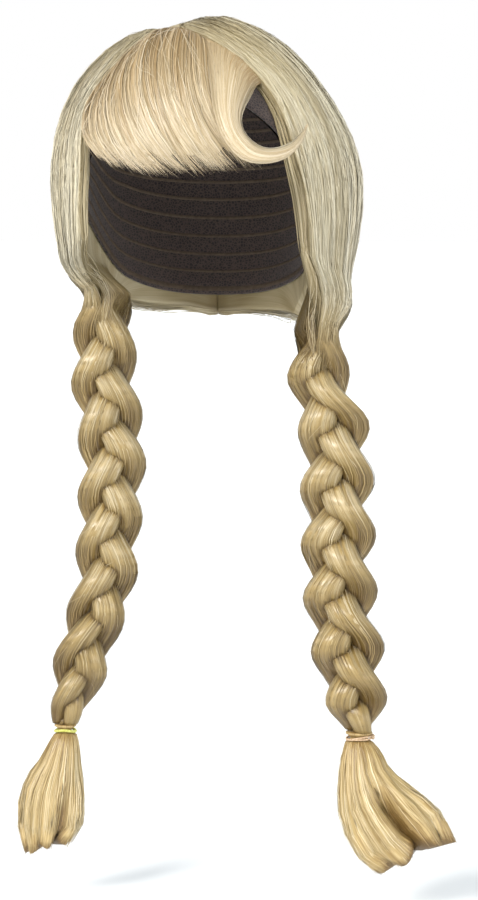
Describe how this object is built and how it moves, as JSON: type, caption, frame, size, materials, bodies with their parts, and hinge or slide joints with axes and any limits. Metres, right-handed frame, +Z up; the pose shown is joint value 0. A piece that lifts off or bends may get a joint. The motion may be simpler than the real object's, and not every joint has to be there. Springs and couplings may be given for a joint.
{
  "type": "pigtail wig",
  "caption": "Blonde centre-parted wig with a short fringe, a curled forehead lock and long braids tied off with elastics.",
  "frame": {"origin": "top of the cap's hollow, where it sits on the crown of the head", "axes": "+Z up, the front of the wig towards -Y, +X towards the right of the picture, which is the wearer's left"},
  "size_m": [0.2921, 0.2128, 0.5616],
  "materials": {
    "cap_net": "matte dark netting with sewn weft rows",
    "blonde_hair": "silky synthetic fibre, satin gloss along the strands",
    "pale_hair": "silky synthetic fibre, pale at the tips",
    "golden_hair": "silky synthetic fibre, golden, loose ends",
    "green_elastic": "thin satin elastic",
    "tan_elastic": "thin satin elastic"
  },
  "bodies": {
    "root": {"cap": "cap_net", "fringe": "pale_hair", "curl_lock": "pale_hair", "hair_left": "blonde_hair", "hair_right": "blonde_hair", "braid_left_strand_1": "blonde_hair", "braid_left_strand_2": "blonde_hair", "braid_left_strand_3": "blonde_hair", "braid_right_strand_1": "blonde_hair", "braid_right_strand_2": "blonde_hair", "braid_right_strand_3": "blonde_hair", "tail_left": "golden_hair", "tail_right": "golden_hair", "band_left": "green_elastic", "band_right": "tan_elastic"}
  },
  "joints": []
}
